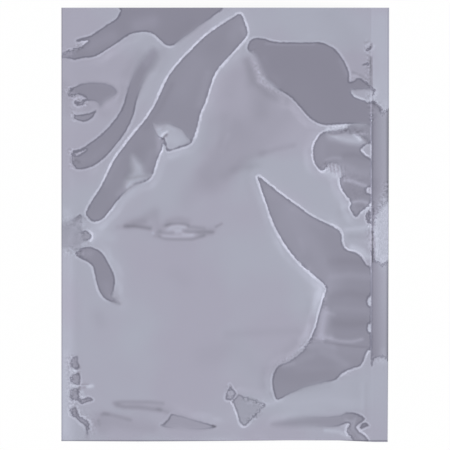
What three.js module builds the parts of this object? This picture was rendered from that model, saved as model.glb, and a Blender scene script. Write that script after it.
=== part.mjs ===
// Static shielding bag lying flat on its back: one sheet of metallised film, folded across the bottom end,
// heat-welded down both sides and open at the top end. The front wall stands a few millimetres off the back
// wall and is dented by long creases that run in from the welds. The bag is one piece with one hollow.
import * as THREE from "three";

// Driving dimensions, in millimetres. X runs across the bag, Y from the fold to the mouth, Z is up.
const width = 229; // over both welds
const length = 305; // from the fold to the mouth
const film = 0.08; // one layer of film
const leftWeld = 6; // width of the left weld band
const rightWeld = 12; // width of the right weld band
const crownHeight = 9; // height of the hollow under the front wall where it stands highest
const mouthHeight = 7.4; // height of the hollow at the middle of the mouth
const foldHeight = 0.6; // height of the hollow just inside the fold
const foldReach = 38; // distance from the fold in which the front wall does most of its rise
const mouthReach = 120; // distance from the mouth in which the front wall comes down to it
const cellSize = 5.3; // size of a facet of the front wall
const dentWall = 4; // width of the slope at the edge of a dent
const lipReach = 6; // distance in which the raised lip round a dent dies away

const fullness = 0.7; // under 1 the front wall rises steeply from the welds and is level in the middle
const lipShare = 0.05; // height of a dent's lip, as a share of the wall's height there
const foldSteps = 4; // facets round the fold
const curveSteps = 5; // straight runs between two of an outline's points
const lipEnd = 4; // how many times the lip's reach it is followed
const mergeSteps = 1e4; // vertices are one where they agree to this part of a millimetre

// Dents of the front wall. An outline's points are in percent of the width from the left edge and of the
// length from the fold; depth is a share of the wall's height there.
const dents = [
  {
    depth: 0.16, // from the mouth down to the left weld
    outline: [
      [18, 100.5], [17, 98], [12, 96], [8.5, 93.5], [2.5, 90.5], [2, 88.3], [10, 89], [18, 92.5], [25, 94.7],
      [29, 93.5], [33, 91.3], [39, 94], [44, 97], [47, 100.5],
    ],
  },
  {
    depth: 0.2, // bow-shaped crease under it
    outline: [
      [28.5, 89.5], [22, 84], [19, 77.5], [15, 73], [8, 68.5], [3.5, 66.5], [4, 63.2], [9.5, 63.4], [16, 67.5],
      [21, 73], [24, 80.5], [27.5, 86.5],
    ],
  },
  {
    depth: 0.45, // short dent at the left weld
    outline: [[2.8, 80.5], [8.5, 82.7], [14, 82], [17, 80.5], [12, 77.6], [8, 78.6]],
  },
  {
    depth: 0.24, // long diagonal dent
    outline: [
      [54.5, 99], [57, 94.6], [50, 87.5], [45, 81.5], [41.5, 73], [39.5, 68.5], [33.5, 67.5], [29, 63], [27.5, 60.5],
      [20, 57], [14, 52], [10, 50.6], [7.8, 53], [14, 61.5], [22, 71], [30, 80.5], [36, 87.5], [45, 94], [50, 97.5],
    ],
  },
  {
    depth: 0.24, // wide dent at the upper right
    outline: [
      [57.3, 91], [60, 93.1], [70, 92.2], [80, 92.1], [85.5, 89], [88, 83.5], [94.5, 82.3], [94.7, 73.5], [86, 73],
      [79, 73.2], [73, 77.5], [65, 82], [60, 84], [58, 88],
    ],
  },
  {
    depth: 0.32, // lobed dent under it, at the right weld
    outline: [
      [80.5, 71.4], [77.4, 68], [77.2, 64.5], [80.3, 62.5], [82.5, 63.5], [85, 59], [88.5, 55], [90, 51.8],
      [94.5, 54], [94.7, 70.5], [88, 71.2],
    ],
  },
  {
    depth: 0.3, // long forked dent down the right side
    outline: [
      [60.3, 60.7], [66, 57.5], [74, 53], [84, 49.5], [86, 45.5], [90.5, 43.2], [94.5, 40], [94.5, 21.5], [91, 17.3],
      [85, 14.8], [75, 12], [66, 9.8], [65, 13.5], [66.5, 17.5], [74, 21], [78, 26.5], [80.8, 34], [81, 36.3],
      [74, 41], [66, 49.5], [62.5, 56],
    ],
  },
  {
    depth: 0.5, // hooked crease half way up the left weld
    outline: [
      [3, 48.8], [6, 50.3], [9.3, 47.7], [6.5, 45], [11, 44.5], [14.5, 41.5], [16.2, 37], [15.3, 33.5], [12.5, 34.5],
      [10.5, 40], [7, 42.5], [3.5, 44.5],
    ],
  },
  {
    depth: 0.28, // three-cornered dent near the fold
    outline: [[51.5, 11.3], [57, 10.6], [62.5, 8.2], [58.5, 5.8], [55.8, 3.6], [53.5, 6.8]],
  },
  {
    depth: 0.4, // long crease along the fold at the right
    outline: [
      [66, 4], [75, 5.7], [88, 6.6], [92, 5.7], [91, 3], [93.2, 0.6], [89, 0.4], [86.5, 2.8], [76, 3.2],
    ],
  },
  {
    depth: 0.3, // flat crease along the fold at the left
    outline: [[31, 3.8], [34, 6], [40, 5.3], [47, 3.4], [40, 2.4]],
  },
];

const pouchWidth = width - leftWeld - rightWeld;
const foldCentre = film + foldHeight / 2; // distance of the fold's axis from its outermost line

// The closed curve through an outline's points, in millimetres, with the box that holds it and its lip.
function smoothOutline({ outline, depth }) {
  const corners = outline.map(([across, up]) => new THREE.Vector3((across * width) / 100, (up * length) / 100, 0));
  const points = new THREE.CatmullRomCurve3(corners, true, "centripetal").getPoints(corners.length * curveSteps);
  const box = new THREE.Box3().setFromPoints(points).expandByScalar(lipReach * lipEnd);
  return { points, depth, box };
}

// Distance of a point from a closed curve, positive inside it.
function depthInside(points, x, y) {
  let nearest = Infinity;
  let inside = false;
  for (let i = 1; i < points.length; i++) {
    const a = points[i - 1];
    const b = points[i];
    const runX = b.x - a.x;
    const runY = b.y - a.y;
    const along = ((x - a.x) * runX + (y - a.y) * runY) / (runX * runX + runY * runY);
    const share = THREE.MathUtils.clamp(along, 0, 1);
    nearest = Math.min(nearest, Math.hypot(x - a.x - share * runX, y - a.y - share * runY));
    const crosses = a.y > y !== b.y > y;
    if (crosses && x < a.x + ((y - a.y) / runY) * runX) inside = !inside;
  }
  return inside ? nearest : -nearest;
}

const curves = dents.map(smoothOutline);

// What the dents leave of the front wall's height at a point, with the lips round them.
function dentShare(x, y) {
  let share = 1;
  for (const { points, depth, box } of curves) {
    if (x < box.min.x || x > box.max.x || y < box.min.y || y > box.max.y) continue;
    const inside = depthInside(points, x, y);
    share *= 1 - depth * THREE.MathUtils.smoothstep(inside, 0, dentWall);
    share *= 1 + lipShare * Math.exp(-Math.abs(inside) / lipReach);
  }
  return share;
}

// Height of the hollow between the walls at a point: nothing at the welds, a little at the fold.
function hollowHeight(x, y) {
  const across = THREE.MathUtils.clamp((x - leftWeld) / pouchWidth, 0, 1);
  const arch = Math.sin(Math.PI * across) ** fullness;
  const rise = 1 - Math.exp(-(y - foldCentre) / foldReach);
  const fall = THREE.MathUtils.smoothstep(y, length - mouthReach, length);
  const top = THREE.MathUtils.lerp(crownHeight, mouthHeight, fall);
  return arch * THREE.MathUtils.lerp(foldHeight, top, rise) * (rise > 0 ? dentShare(x, y) : 1);
}

// Even steps from one place to another, both included.
function steps(from, to, size) {
  const count = Math.max(1, Math.round((to - from) / size));
  return Array.from({ length: count + 1 }, (_, i) => from + ((to - from) * i) / count);
}

const columns = [0, ...steps(leftWeld, width - rightWeld, cellSize), width];
const rows = steps(foldCentre, length, cellSize);
const firstInside = 1; // the column on the left weld's inner line
const lastInside = columns.length - 2; // the column on the right weld's inner line

const vertices = [];
const triangles = [];
const known = new Map();

// The number of the vertex at a point, which neighbouring faces share.
function vertex(x, y, z) {
  const key = [x, y, z].map((value) => Math.round(value * mergeSteps)).join();
  if (!known.has(key)) {
    known.set(key, vertices.length / 3);
    vertices.push(x - width / 2, y - length / 2, z);
  }
  return known.get(key);
}

function triangle(a, b, c) {
  if (a !== b && b !== c && c !== a) triangles.push(a, b, c);
}

function quad(a, b, c, d) {
  triangle(a, b, c);
  triangle(a, c, d);
}

// Faces between neighbouring lines of vertices, split along the same diagonal whichever way they look.
function skin(lines, turned = false) {
  for (let j = 1; j < lines.length; j++) {
    for (let i = 1; i < lines[j].length; i++) {
      const [a, b, c, d] = [lines[j - 1][i - 1], lines[j - 1][i], lines[j][i], lines[j][i - 1]];
      if (turned) quad(a, d, c, b);
      else quad(a, b, c, d);
    }
  }
}

// Faces from one middle vertex to a closed line of vertices round it.
function fan(middle, rim, turned = false) {
  rim.forEach((a, i) => {
    const b = rim[(i + 1) % rim.length];
    if (turned) triangle(middle, b, a);
    else triangle(middle, a, b);
  });
}

// A line of vertices along the front wall, at the outer or the inner face of the film.
function frontLine(y, inset, from, to) {
  return columns.slice(from, to + 1).map((x) => vertex(x, y, 2 * film + hollowHeight(x, y) - inset));
}

function backLine(y, z, from, to) {
  return columns.slice(from, to + 1).map((x) => vertex(x, y, z));
}

// A line of vertices part of the way round the fold, from 0 at the front wall to 1 at the back wall.
function foldLine(turn, inset, from, to) {
  return columns.slice(from, to + 1).map((x) => {
    const half = (2 * film + hollowHeight(x, foldCentre)) / 2;
    const radius = half - inset;
    const angle = Math.PI * turn;
    return vertex(x, foldCentre - radius * Math.sin(angle), half + radius * Math.cos(angle));
  });
}

// One face of the film: the front wall, round the fold, and the back wall, which is flat.
function filmFace(inset, from, to, turned) {
  const front = rows.map((y) => frontLine(y, inset, from, to));
  const turns = Array.from({ length: foldSteps + 1 }, (_, i) => i / foldSteps);
  const fold = turns.map((turn) => foldLine(turn, inset, from, to));
  const back = rows.map((y) => backLine(y, inset, from, to));
  skin(front, turned);
  skin(fold.reverse(), turned);
  const down = back.map((line) => line[0]).reverse();
  const up = back.map((line) => line.at(-1));
  const rim = [...back.at(-1).slice(0, -1).reverse(), ...down.slice(1), ...back[0].slice(1), ...up.slice(1)];
  fan(vertex(width / 2, length / 2, inset), rim, !turned);
  return { front, back, fold };
}

// The cut edge of a weld: a strip up the side of the bag, and its end round the fold.
function weldEdge(outside, side, turned) {
  const strip = outside.front.map((line, j) => [outside.back[j].at(side), line.at(side)]);
  skin(strip, turned);
  const end = outside.fold.map((line) => line.at(side));
  for (let i = 2; i < end.length; i++) {
    if (turned) triangle(end[0], end[i], end[i - 1]);
    else triangle(end[0], end[i - 1], end[i]);
  }
}

// The mouth's rim: the cut edge of each wall's film, and of both layers together across the welds.
function mouthEdge(outside, inside) {
  const frontOut = outside.front.at(-1);
  const backOut = outside.back.at(-1);
  const frontIn = inside.front.at(-1);
  const backIn = inside.back.at(-1);
  skin([frontOut.slice(firstInside, lastInside + 1), frontIn]);
  skin([backIn, backOut.slice(firstInside, lastInside + 1)]);
  quad(backOut[0], frontOut[0], frontOut[firstInside], frontIn[0]);
  triangle(backOut[0], frontIn[0], backOut[firstInside]);
  quad(backOut.at(-1), backOut[lastInside], frontIn.at(-1), frontOut[lastInside]);
  triangle(backOut.at(-1), frontOut[lastInside], frontOut.at(-1));
}

function bagGeometry() {
  const outside = filmFace(0, 0, columns.length - 1, false);
  const inside = filmFace(film, firstInside, lastInside, true);
  weldEdge(outside, 0, false);
  weldEdge(outside, -1, true);
  mouthEdge(outside, inside);
  const geometry = new THREE.BufferGeometry();
  geometry.setAttribute("position", new THREE.Float32BufferAttribute(vertices, 3));
  geometry.setIndex(triangles);
  geometry.computeVertexNormals();
  return geometry;
}

const metallisedFilm = new THREE.MeshStandardMaterial({ color: 0xa8a8b8, metalness: 0.9, roughness: 0.22 });

const bag = new THREE.Mesh(bagGeometry(), metallisedFilm);
bag.name = "shielding_bag";

const part = new THREE.Group();
part.add(bag);

export default part;
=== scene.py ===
import math

import bpy
import numpy as np
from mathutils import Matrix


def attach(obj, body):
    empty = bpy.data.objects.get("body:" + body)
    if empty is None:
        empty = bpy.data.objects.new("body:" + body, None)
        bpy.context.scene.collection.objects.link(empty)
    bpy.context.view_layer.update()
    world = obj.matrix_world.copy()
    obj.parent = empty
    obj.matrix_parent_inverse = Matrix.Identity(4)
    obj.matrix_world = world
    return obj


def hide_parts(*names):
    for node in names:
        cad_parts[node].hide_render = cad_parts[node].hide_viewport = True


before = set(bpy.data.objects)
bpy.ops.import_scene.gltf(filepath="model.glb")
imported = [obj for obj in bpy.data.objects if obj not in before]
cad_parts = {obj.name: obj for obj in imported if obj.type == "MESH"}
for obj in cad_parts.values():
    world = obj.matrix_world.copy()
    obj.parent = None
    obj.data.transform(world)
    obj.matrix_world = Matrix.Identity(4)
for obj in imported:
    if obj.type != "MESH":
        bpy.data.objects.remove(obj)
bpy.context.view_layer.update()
print("frame loaded")

# Metres, as in the frame: X across the bag, Y from the fold to the mouth
bag = {
    "width": 0.229,
    "length": 0.305,
    "film": 0.00008,
    "leftWeld": 0.006,
    "rightWeld": 0.012,
    "crownHeight": 0.009,
    "mouthHeight": 0.0074,
    "foldHeight": 0.0006,
    "foldReach": 0.038,  # how far from the fold the front wall rises
    "mouthReach": 0.12,  # how far from the mouth it comes down again
    "fullness": 0.92,
    "mouthDraw": 0.0012,  # how far the mouth's edges are drawn in
    "mouthArch": 0.0004,  # and how much more the front one is in its middle
    "drawPower": 8,  # how closely the draw keeps to the mouth
    # How far the right edge leans, along Y, and how far the fold waves, along X
    "lean": [(-0.1525, -0.0005), (-0.09, -0.0001), (0.0, 0.0002), (0.1525, 0.0006)],
    "foldWave": [
        (-0.1145, 0.0), (-0.06, 0.0), (0.045, 0.0008), (0.08, 0.0006), (0.105, -0.0006), (0.1145, -0.0006),
    ],
    "waveReach": 0.0305,  # how far from the fold the wave has died away
    "columns": 264,
    "frontRows": 338,
    "foldRows": 6,
    "backRows": 14,
    "edgeTolerance": 1e-6,  # how near a side edge a point counts as on it
    "smoothAngle": 60,  # degrees: a sharper bend shades as an edge
    "dentWall": 0.009,  # width of the slope round a dent
    "dentFloor": 0.0004,  # how far inside its outline a dent has its full depth
    "shallow": 0.002,  # where the hollow is lower, dents are shallower
    "farOff": -30.0,  # millimetres: outside every dent
}

# The picture in pixels, with metres to a pixel and the margin round an outline within which it counts
photo = {"left": 61.4, "fold": 441.4, "size": 450, "pixel": 0.0007005, "margin": 40}
lens = {"distance": 2.4, "sensor": 0.036, "farClip": 20}
millimetres = 1000  # in a metre

# The spot of the table in the picture's middle
pictureMiddle = (
    (photo["size"] / 2 - photo["left"]) * photo["pixel"] - bag["width"] / 2,
    (photo["fold"] - photo["size"] / 2) * photo["pixel"] - bag["length"] / 2,
)

dents = {}


# A dent's depth in metres, how dark its painted dark reflection is, and its outline and the islands in it, in
# the photo's pixels. A point's third number is 0 on a soft edge, 1 on a crease with a painted dark shade line
# and 2 on one with a bright lip, a painted highlight.
def addDent(name, depth, tone, outline, *islands):
    dents[name] = {"depth": depth, "tone": tone, "outline": np.array(outline), "islands": islands}


addDent("mouthDent", 0.0009, 1.0, [
    (122.4, 2, 1), (120.6, 8, 1), (117.7, 15.6, 1), (113.8, 19, 1), (108.6, 22.2, 1), (97.8, 29.8, 1),
    (89.4, 35.2, 1.2), (83, 36.8, 1.1), (76.4, 38.8, 1), (77.5, 41, 1.2), (83.5, 39.8, 1.6),
    (88.6, 39.8, 1.9), (84.4, 43.6, 1.8), (80.2, 45.9, 1.2), (71.8, 48.6, 1), (62, 53.5, 0.7),
    (62, 56.8, 0.5), (70, 58, 0.8), (74.9, 59.3, 1), (84, 57, 1), (94.8, 55.7, 1.2), (108.6, 47.4, 1.2),
    (120, 39.8, 1.1), (128.5, 33.7, 1), (137.6, 31, 1), (146.8, 30.6, 1.1), (153.7, 32.9, 1.3),
    (159.8, 38.3, 1.5), (164.4, 42.8, 1.6), (168.5, 44.6, 1.6), (172.5, 44.2, 1.2), (176.5, 41.6, 0.6),
    (190.8, 30.9, 0.3), (203.8, 20.8, 0.5), (213.8, 13.6, 0.8), (217, 3, 0.8),
])
addDent("bowDent", 0.0008, 0.95, [
    (153.4, 46.6, 0), (145.6, 54, 0), (138.6, 63, 0), (132.6, 75, 0.2), (126.8, 91.8, 0.7),
    (124.1, 101.9, 1.1), (119.1, 113.4, 1.1), (110.5, 124.8, 1.2), (100.4, 134.9, 1.2), (89, 143.5, 1.1),
    (80.4, 149, 1.1), (73, 151.4, 1.1), (71.7, 159.3, 1), (73.9, 166.5, 1), (78.9, 169.3, 1.1),
    (91.8, 166.5, 1.2), (103.3, 158.6, 1.2), (113.4, 147.8, 1.2), (123.4, 134.9, 1.2), (129.9, 123.4, 1.2),
    (134.2, 111.9, 1.1), (136.3, 101.9, 0.9), (140.4, 89, 0.4), (146, 76, 0.1), (153, 65.6, 0),
    (158.5, 52, 0),
], [
    (75.4, 153.4, 0.8), (81, 151.2, 1.1), (86.6, 149.2, 1.3), (84, 151.8, 1.2), (79, 154.8, 1),
    (75.6, 155.6, 0.8),
])
addDent("halfMoonDent", 0.0007, 0.9, [
    (68.8, 91.5, 0.9), (71.5, 87.5, 1), (75.5, 86.2, 0.9), (80.2, 83.8, 0.7), (89.4, 82.2, 0.5),
    (100.9, 82.6, 0.4), (110.1, 84.5, 0.4), (114.7, 88, 0.5), (117, 91.6, 0.4), (112.4, 96.4, 0.2),
    (105.5, 100.5, 0.1), (100.5, 105.8, 0.2), (98.6, 103.4, 0.3), (94.8, 100.8, 0.5), (88.4, 100.2, 0.8),
    (85.8, 97.4, 1.3), (81.5, 95, 1.2), (76.5, 94.4, 1), (72.5, 96, 0.9), (68.8, 95.6, 0.8),
])
addDent("halfMoonChip", 0.0004, 1.0, [
    (74.5, 101.6, 1.2), (80.4, 101, 1.2), (86.4, 99.4, 1), (84.2, 103, 1.2), (77.8, 105.6, 1.2),
])
addDent("smallMoonDent", 0.0005, 0.82, [
    (73.2, 115.6, 1.1), (79.4, 114.4, 1), (86, 113.6, 1), (91.4, 112.4, 1), (96.3, 109.6, 0.9),
    (94, 115.5, 1), (89.6, 119.6, 1), (83.6, 121.3, 1), (76, 119.4, 1.1),
])
addDent("diagonalDent", 0.0013, 0.88, [
    (238.6, 12.2, 1.7), (230.7, 17.2, 1.6), (224.2, 21.2, 1.7), (208.2, 32.6, 2), (193.2, 47, 2),
    (179.4, 61.7, 2), (169.3, 74.6, 2), (162.1, 89, 2), (155, 104.8, 2), (144.9, 120.5, 2),
    (136.3, 130.6, 2), (126.3, 143.5, 2), (114.8, 159.3, 2), (107.6, 173.6, 1.9), (100.4, 188, 1.7),
    (91.8, 200.9, 1.5), (86.1, 212.4, 1.4), (89, 218.6, 1.2), (94.7, 221.7, 1.3), (103.3, 218.1, 1.5),
    (110.5, 209.5, 1.6), (117.7, 200, 1.2), (126.8, 190.8, 0.3), (135.4, 185.1, 0.3), (146.4, 180.8, 1.1),
    (152.1, 175.1, 1.7), (156.4, 162.2, 1.8), (162.1, 147.8, 1.8), (163.4, 143.4, 1.6), (165.2, 146, 1.2),
    (167.9, 151, 1.2), (179.4, 147.8, 1.3), (189.4, 144.2, 1.5), (193.7, 137.8, 1.8), (197.3, 126.3, 2),
    (200.2, 113.4, 2), (205.2, 101.9, 2), (209.5, 87.5, 2), (213.6, 76.1, 2), (218.4, 67.4, 2),
    (223.4, 61.7, 2), (230.4, 53.8, 1.9), (237.4, 45.9, 1.9), (244.8, 37.3, 1.9), (247.4, 30.9, 1.8),
    (244.9, 21.5, 1.8), (242.2, 14.3, 1.8),
], [
    (152.5, 122.5, 0.3), (158, 124.8, 0.2), (167, 123.6, 0.2), (175, 126.4, 0.4), (182, 130, 0.4),
    (187, 137, 0.3), (190, 141.9, 0.3), (179.2, 146, 0.7), (168.8, 149, 0.8), (165.4, 141, 0.9),
    (163.2, 137.6, 1.2), (157.4, 134.4, 0.5),
], [
    (132, 157, 0), (135, 157.5, 0), (141.6, 165, 0.1), (145, 173.5, 0.1), (153, 174.6, 0.3),
    (146.6, 179, 0.4), (135.4, 183, 0.4), (126.6, 188.6, 0.2), (126.2, 180, 0), (131.5, 171, 0),
])
addDent("shoulderDent", 0.0012, 1.0, [
    (247.6, 48, 1), (249, 41.2, 1.3), (254, 37.2, 1.2), (261, 36.8, 1), (273.8, 40.4, 1.3), (283, 41.2, 1.2),
    (292.4, 41.2, 1), (308, 41.5, 0.9), (320, 41.4, 1), (332, 46.6, 1.2), (339.6, 54.6, 1.2),
    (345.4, 64.2, 1.2), (348.4, 73, 1.2), (348.6, 81.2, 1.2), (352.5, 80.6, 0.9), (358.4, 77.5, 0.9),
    (365, 81.6, 1.1), (372, 87, 1.3), (372, 101, 1.1), (378.6, 107.4, 1), (379, 111.6, 0.5), (373, 113, 0.7),
    (371, 116, 1.1), (371, 124.6, 0.8), (362, 124, 0.3), (348.4, 123.6, 0.9), (336.9, 124.1, 1.3),
    (325.4, 124.8, 1.4), (316.8, 122.4, 1.3), (308.2, 116.4, 1.3), (299.6, 106.2, 1.2), (291, 97.2, 1.2),
    (282.4, 91.4, 0.9), (274.6, 86.6, 0.4), (267.4, 80.4, 0.1), (263.2, 72, 0), (258.8, 62, 0),
    (253.4, 53, 0.2),
], [
    (350.4, 90.8, 0.6), (357, 89.3, 0.5), (370.2, 89.5, 0.5), (370.6, 102, 1.1), (362, 99.6, 1.3),
    (354, 96.6, 1.3),
])
addDent("lobedDent", 0.001, 0.82, [
    (327, 131, 0.9), (320.4, 134, 1.6), (316.6, 139.2, 1.9), (313.5, 146, 2), (313, 152, 2),
    (314, 160.7, 1.9), (317.2, 166.7, 1.7), (322, 170.8, 1.7), (325.6, 167.9, 1.3), (328.6, 164, 0.6),
    (335.5, 163, 0.4), (339.4, 166.4, 0.3), (342.4, 173.4, 0.5), (339.4, 180, 1.2), (341.2, 188, 1.7),
    (346, 195.6, 1.7), (350.4, 201.6, 1.5), (349.8, 208.1, 1.5), (352.4, 213.6, 1.4), (355.8, 216.9, 1.4),
    (358.8, 213.6, 1.3), (363.2, 209.6, 1.3), (367.6, 207, 1.5), (370.6, 201, 1.5), (371, 195, 1.3),
    (366.8, 192.8, 1.6), (365.6, 189.6, 1.8), (367.2, 187.2, 1.6), (371, 186.2, 1), (371, 172, 0.8),
    (371, 160.6, 1.2), (365.4, 156, 1.8), (360, 150.4, 1.8), (362.6, 146.8, 1.2), (366.4, 143.8, 1.1),
    (371, 142, 0.9), (371, 125, 0.8), (360, 125, 0), (350, 125.4, 0.4), (345.5, 128.6, 0.9),
    (338.5, 130.4, 0.6), (331.5, 131, 0.6),
], [
    (326.6, 134, 0.2), (336, 134, 0.2), (344.5, 133, 0.3), (352, 134, 0.3), (361.5, 136.5, 0.5),
    (367.5, 141.4, 0.4), (360.5, 143.5, 0.1), (348, 143, 0), (335, 138.6, 0.2),
])
addDent("forkedDent", 0.0013, 0.86, [
    (257.9, 176.4, 1.9), (261.2, 188.2, 1.8), (266.8, 204.4, 1.8), (272.6, 221.6, 1.9), (281.3, 238.6, 1.9),
    (290, 251.6, 1.9), (301.6, 264.6, 1.9), (314.2, 275.6, 1.7), (325.4, 286.2, 1.4), (324, 296.7, 1.7),
    (320, 309.7, 1.5), (316.2, 325.4, 1.5), (311.2, 338.2, 1.4), (307, 343.9, 0.9), (304.8, 348.8, 0.8),
    (297, 356.2, 0.7), (288.6, 361.8, 0.7), (278.6, 365.9, 0.8), (273.8, 373.6, 1.1), (272.4, 382, 1.3),
    (274, 392.4, 1.2), (277.8, 400, 1.1), (288.1, 394.8, 0.6), (302.5, 388.6, 0.4), (318.3, 384, 0.3),
    (335.4, 380, 0.9), (340.6, 374.8, 1.4), (347, 370.4, 1.5), (352.7, 368.5, 1.5), (360.6, 365.6, 1.4),
    (364, 359.4, 1.5), (367, 351.4, 1.5), (371, 348, 1.3), (371, 334, 1), (368.6, 332, 1.2),
    (367.4, 328, 1.3), (368.6, 324, 1.2), (371, 322.6, 1), (371, 308, 0.8), (368.6, 305.6, 1.2),
    (367.2, 301.4, 1.3), (368.6, 296.8, 1.2), (371, 294.6, 1), (371, 270, 0.8), (366, 264.4, 1.3),
    (361.4, 257.6, 1.4), (356.2, 253, 1.6), (346, 249.8, 1.8), (341.8, 243, 1.8), (341, 234.6, 1.8),
    (337.2, 229.2, 1.8), (325, 222.9, 1.6), (311, 215.8, 1.5), (297, 205.6, 1.6), (282.7, 195.6, 1.8),
    (268.3, 184.1, 1.9),
])
addDent("triangleDent", 0.0008, 0.4, [
    (232.3, 401.3, 1.6), (236.4, 397, 0.8), (238.8, 394.6, 0.7), (244.4, 396.8, 0.7), (250.2, 397.6, 0.7),
    (258.2, 400.7, 0.7), (266, 405.8, 0.9), (261, 409.6, 0.8), (260.4, 413, 0.8), (257.8, 413.8, 0.9),
    (257.6, 418.6, 0.9), (255, 416.8, 0.9), (250.4, 421, 1.1), (245.3, 426.4, 1.4), (240.7, 424, 1.6),
    (238.7, 418.3, 1.7), (236.6, 411.2, 1.7), (233.8, 404.6, 1.6),
])
addDent("triangleTail", 0.0004, 0.3, [
    (225.6, 399, 1.3), (227, 391.6, 1), (229, 389, 1.1), (230, 384.2, 1.2), (232.4, 388.6, 1.2),
    (236.2, 393.4, 1.1), (234, 397, 1), (231, 400, 1.2),
])
addDent("hookDent", 0.0009, 0.95, [
    (76, 252.3, 1.1), (86.1, 247.2, 0.9), (94.7, 248.4, 1), (101.9, 253, 1.2), (107.6, 262, 1.2),
    (112.8, 272, 1.2), (115, 281, 1.1), (113.6, 290, 0.8), (112.2, 296, 0.5), (114.6, 299.4, 0.3),
    (117.4, 303, 0.2), (111.4, 302, 0.7), (105.4, 298.8, 1.2), (99.6, 291.6, 1.4), (96.7, 282.8, 1.4),
    (94.5, 272.8, 1.4), (92.2, 265.6, 1.4), (86.8, 261.1, 1.3), (80, 258.2, 1.1),
])
addDent("cornerLump", 0.0006, 0.5, [
    (60, 227.4, 0), (67, 222.6, 0.2), (73, 219, 0.4), (77.6, 216, 0.8), (81, 214.4, 0.9), (82, 220, 0.3),
    (81, 227.6, 0.2), (82, 231.8, 0.6), (86.6, 230.8, 1.3), (91.2, 235, 1.6), (90, 239.2, 1.6),
    (85, 241, 0.5), (81.2, 243.4, 0.2), (80.6, 247, 0.2), (76.6, 250.4, 0.3), (72.4, 249, 0.3),
    (69.4, 246.6, 0.3), (60, 246.4, 0),
], [
    (81.6, 223.4, 0.6), (83.2, 216.4, 0.9), (86.4, 217.2, 1), (88.2, 221.8, 0.8), (85.6, 225.6, 0.6),
    (82.4, 226.4, 0.5),
])
addDent("weldDentTop", 0.0004, 0.7, [
    (70.6, 361, 0.9), (73.6, 357.6, 0.9), (77.4, 356, 0.7), (78.2, 362, 0.8), (79.4, 367.8, 1),
    (75, 369.6, 1.1), (70.6, 366, 0.9),
])
addDent("weldDentSecond", 0.0004, 0.7, [
    (72, 375, 1), (78.4, 373.2, 1.1), (80.4, 378, 1.1), (79, 384, 1.2), (74.4, 384.6, 1.1), (71, 380.4, 0.9),
])
addDent("weldDentThird", 0.0004, 0.7, [
    (70.6, 389.4, 0.9), (77.4, 388, 1.1), (79.4, 393, 1.2), (79.4, 398, 1.2), (83.4, 399.6, 1.2),
    (86.7, 397.4, 1.2), (90.2, 397.6, 1.2), (93, 400, 1.1), (88.3, 401.8, 1.2), (81, 403.4, 1.2),
    (76.6, 400, 1.2), (70.6, 399, 0.9),
])
addDent("weldDentLowest", 0.0004, 0.82, [
    (70.4, 409, 1), (75.6, 407, 1.2), (77.8, 412.4, 1.3), (80, 416.4, 1.4), (84.8, 419.2, 1.4),
    (89.6, 423.4, 1.3), (88.2, 432, 0.8), (87.2, 437, 0), (86.2, 431, 0.9), (84.8, 425.6, 1.2),
    (80, 422, 1.3), (75.4, 417.6, 1.2), (71.4, 414.8, 1.1),
])
addDent("foldFlake", 0.0005, 0.46, [
    (160.4, 425.6, 0.8), (164.6, 422.8, 0.9), (168.4, 418.6, 0.9), (171, 414.2, 0.9), (178, 415.2, 0.5),
    (192, 419.4, 0.4), (215.6, 426.6, 0.9), (207, 429.6, 0.4), (196, 430, 0.2), (180, 428.4, 0),
    (167.9, 428, 0.3),
])
addDent("foldSpindle", 0.0006, 0.72, [
    (273, 425.4, 0), (282, 422.2, 0), (292.3, 419.4, 0), (309.2, 417.4, 0.1), (326, 417.2, 0.3),
    (339.8, 415.8, 0.4), (346, 413, 0.6), (352.5, 412.6, 0.8), (359.6, 414.4, 1.1), (365, 418.2, 1.2),
    (362.6, 421.2, 1.4), (358.6, 424.6, 1.9), (356.6, 427.6, 2), (359.4, 431.4, 2), (364.9, 434.9, 1.7),
    (368.3, 439, 1.4), (369.4, 444, 1.2), (357, 443.6, 0.6), (352.6, 438.6, 0.8), (348.4, 434.2, 1.5),
    (347.4, 429.6, 1.7), (349.9, 424, 1.7), (346, 423.8, 1.3), (340, 426.6, 0.7), (330, 427.6, 0.3),
    (309.2, 427, 0), (289.6, 427.3, 0),
])
addDent("foldSpeck", 0.0002, 0.95, [
    (360.4, 427.2, 1.4), (362.6, 423.6, 1.3), (366.6, 422.6, 1.2), (369.6, 425, 1.2), (366, 426.6, 1.3),
    (362.6, 428.4, 1.4),
])
addDent("weldNick", 0.0001, 0.9, [
    (365.4, 217.4, 1.3), (366.6, 212.6, 1.3), (369.4, 211.6, 1.2), (369.8, 223.6, 1.2), (367.6, 222, 1.3),
])
addDent("weldOval", 0.0001, 1.1, [
    (372.6, 91, 1.2), (373.4, 88.4, 1.2), (374.6, 91, 1.2), (373.6, 94.4, 1.2),
])
addDent("weldFleck", 0.0001, 1.1, [
    (365.4, 48.8, 1), (368, 46.4, 1.1), (371, 45.6, 1.2), (370.4, 48.2, 1.1), (367.4, 49.8, 1),
])
addDent("weldDash", 0.0001, 0.8, [
    (361, 64.4, 0.7), (364.6, 62.8, 1), (369, 62, 1), (368.6, 63.6, 1), (364.6, 64.6, 0.9),
])
addDent("weldShadeUpper", 0, 1.0, [
    (371, 118, 0.7), (371.2, 100.4, 1.1), (376, 103.4, 1.2), (380.6, 108, 1.1), (381.6, 112.6, 0.9),
    (394, 114.4, 0.8), (394, 192, 0.3), (386.6, 202, 0.5), (382, 207, 0.6), (379, 211, 0.6),
    (376, 215.6, 0.7), (374, 221, 0.8), (371.2, 227, 0.8),
])
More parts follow.
